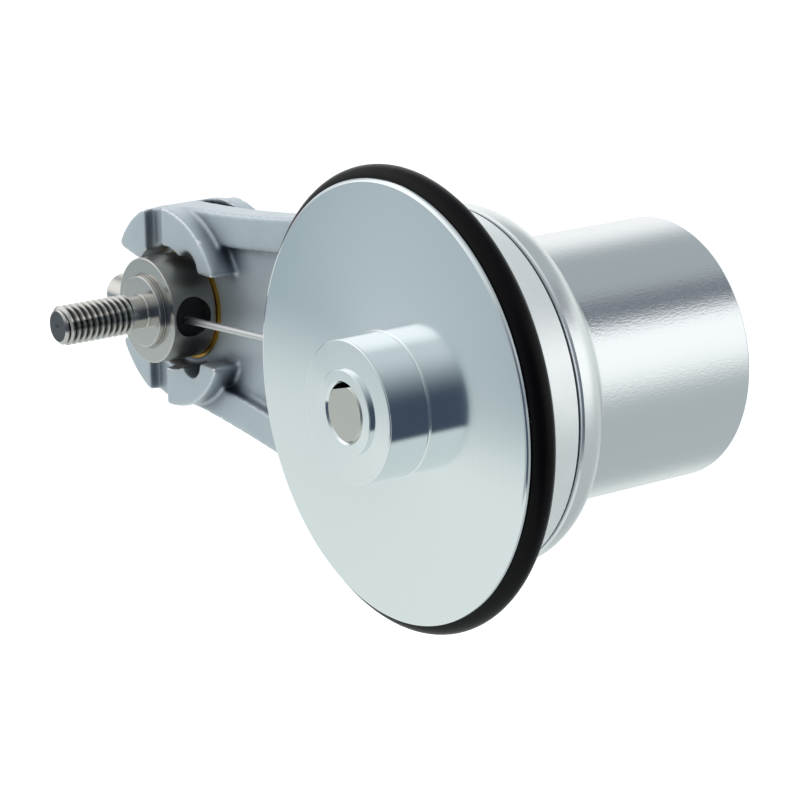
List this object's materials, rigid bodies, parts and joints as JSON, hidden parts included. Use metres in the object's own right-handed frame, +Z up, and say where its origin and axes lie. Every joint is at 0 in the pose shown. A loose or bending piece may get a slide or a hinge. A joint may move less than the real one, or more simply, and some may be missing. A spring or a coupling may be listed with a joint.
{
  "type": "measuring wheel encoder",
  "caption": "Spring arm that presses a rubber-tyred measuring wheel on moving material; a round shaft encoder behind the wheel turns its travel into pulses.",
  "frame": {"origin": "on the pivot axis, at the seat of the mounting stud", "axes": "+X from the pivot axis to the wheel axis, +Y along both axes from the stud towards the encoder, +Z up"},
  "size_m": [0.1107, 0.0622, 0.0636],
  "materials": {
    "polished_steel": "polished",
    "spring_steel": "bright drawn",
    "black_steel": "blackened",
    "zinc_steel": "zinc plated",
    "ground_steel": "ground",
    "bearing_steel": "ground",
    "cast_aluminium": "satin die cast",
    "turned_aluminium": "fine turned",
    "flange_aluminium": "satin",
    "can_metal": "satin",
    "bronze": "sintered",
    "black_rubber": "matte",
    "nickel_brass": "nickel plated",
    "contact_gold": "plated",
    "black_plastic": "matte",
    "clear_plastic": "clear moulded",
    "disc_glass": "clear",
    "board_laminate": "solder mask",
    "lead_plastic": "matte"
  },
  "bodies": {
    "mount": {"pivot_spindle": "polished_steel", "spring_holder": "polished_steel", "wire_sleeve": "black_plastic", "holder_grub_screw": "black_steel", "spring_wire": "spring_steel", "pivot_washer": "spring_steel", "pivot_circlip": "spring_steel"},
    "arm": {"spring_arm": "cast_aluminium", "front_pivot_bush": "bronze", "rear_pivot_bush": "bronze", "flange_screws": "black_steel", "flange_gasket": "black_rubber", "encoder_flange": "flange_aluminium", "encoder_can": "can_metal", "can_seal": "black_rubber", "shaft_seal": "black_rubber", "bearing_circlip": "spring_steel", "circuit_board": "board_laminate", "board_screws": "zinc_steel", "light_source": "clear_plastic", "sensor_chip": "black_plastic", "connector_shell": "nickel_brass", "connector_gasket": "black_rubber", "connector_nut": "nickel_brass", "connector_insert": "black_plastic", "connector_pins": "contact_gold", "ribbon_lead": "lead_plastic", "front_bearing_outer": "bearing_steel", "front_bearing_balls": "bearing_steel", "rear_bearing_outer": "bearing_steel", "rear_bearing_balls": "bearing_steel"},
    "wheel": {"measuring_wheel": "turned_aluminium", "tyre": "black_rubber", "encoder_shaft": "ground_steel", "wheel_set_screw": "black_steel", "bearing_spacer": "ground_steel", "code_disc_hub": "turned_aluminium", "code_disc": "disc_glass", "disc_clamp": "turned_aluminium", "front_bearing_inner": "bearing_steel", "rear_bearing_inner": "bearing_steel"}
  },
  "joints": [
    {"name": "arm_swing", "type": "hinge", "parent": "mount", "child": "arm", "pos_m": [0, 0, 0], "axis": [0, 1, 0], "range_deg": [-12.5, 12.5], "stiffness_Nm_per_rad": 1.14, "springref_deg": -3.72, "deforming": ["spring_wire"]},
    {"name": "wheel_spin", "type": "hinge", "parent": "arm", "child": "wheel", "pos_m": [0.0637, 0, 0], "axis": [0, 1, 0], "continuous": true}
  ]
}
